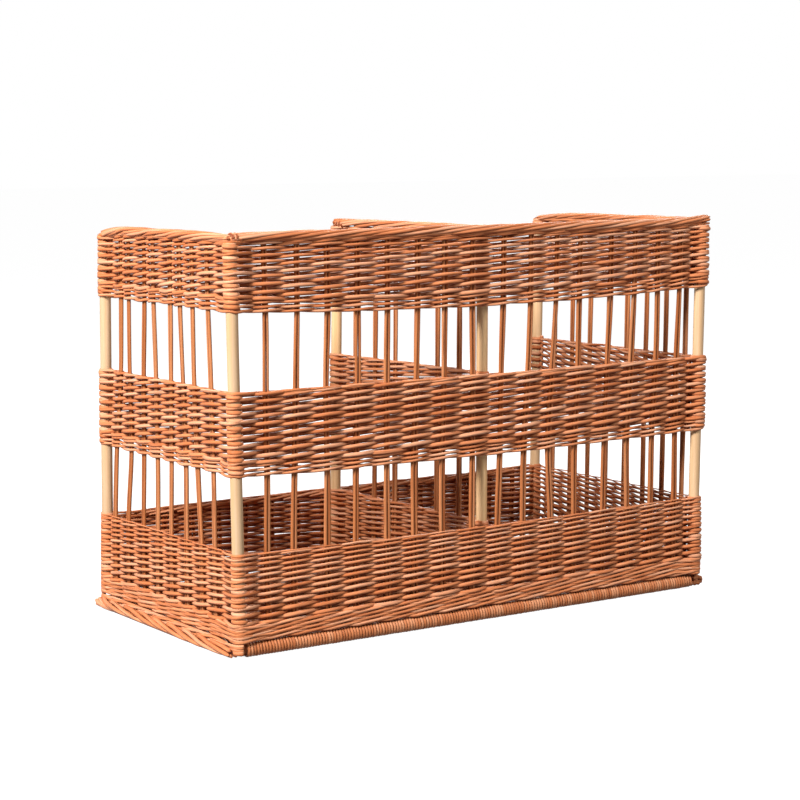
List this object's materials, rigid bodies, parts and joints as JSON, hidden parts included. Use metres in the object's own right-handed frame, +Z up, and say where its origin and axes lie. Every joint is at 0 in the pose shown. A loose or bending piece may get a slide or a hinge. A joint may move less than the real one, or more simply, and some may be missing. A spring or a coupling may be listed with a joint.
{
  "type": "baguette basket",
  "caption": "Rectangular woven willow basket with tall windowed walls, a low back and a middle divider, which stands on the floor and holds long loaves upright in its bays.",
  "frame": {"origin": "on the floor, under the middle of the basket's box", "axes": "+X along the length, +Y from the tall front wall to the low back wall, +Z up"},
  "size_m": [0.7498, 0.384, 0.5],
  "materials": {
    "willow": "satin buff willow",
    "stake_willow": "satin buff willow, paired rods",
    "peeled_wood": "smooth peeled pale wood"
  },
  "bodies": {
    "root": {"base_mat": "willow", "front_rail": "willow", "back_rail": "willow", "left_foot_border": "willow", "right_foot_border": "willow", "post_front_left": "peeled_wood", "post_front_right": "peeled_wood", "post_back_left": "peeled_wood", "post_back_right": "peeled_wood", "post_divider_front": "peeled_wood", "post_divider_back": "peeled_wood", "front_stake_01": "stake_willow", "front_stake_02": "stake_willow", "front_stake_03": "stake_willow", "front_stake_04": "stake_willow", "front_stake_05": "stake_willow", "front_stake_06": "stake_willow", "front_stake_07": "stake_willow", "front_stake_08": "stake_willow", "front_stake_09": "stake_willow", "front_stake_10": "stake_willow", "front_stake_11": "stake_willow", "front_stake_12": "stake_willow", "front_stake_13": "stake_willow", "front_stake_14": "stake_willow", "front_stake_15": "stake_willow", "front_stake_16": "stake_willow", "left_stake_1": "stake_willow", "left_stake_2": "stake_willow", "left_stake_3": "stake_willow", "left_stake_4": "stake_willow", "left_stake_5": "stake_willow", "left_stake_6": "stake_willow", "left_stake_7": "stake_willow", "left_stake_8": "stake_willow", "right_stake_1": "stake_willow", "right_stake_2": "stake_willow", "right_stake_3": "stake_willow", "right_stake_4": "stake_willow", "right_stake_5": "stake_willow", "right_stake_6": "stake_willow", "right_stake_7": "stake_willow", "right_stake_8": "stake_willow", "divider_stake_1": "stake_willow", "divider_stake_2": "stake_willow", "divider_stake_3": "stake_willow", "divider_stake_4": "stake_willow", "divider_stake_5": "stake_willow", "divider_stake_6": "stake_willow", "bottom_band": "willow", "middle_band": "willow", "top_band": "willow", "back_band": "willow", "divider_bottom_band": "willow", "divider_middle_band": "willow", "divider_top_band": "willow", "back_stakes_and_border": "willow", "top_border": "willow", "divider_border": "willow"}
  },
  "joints": []
}
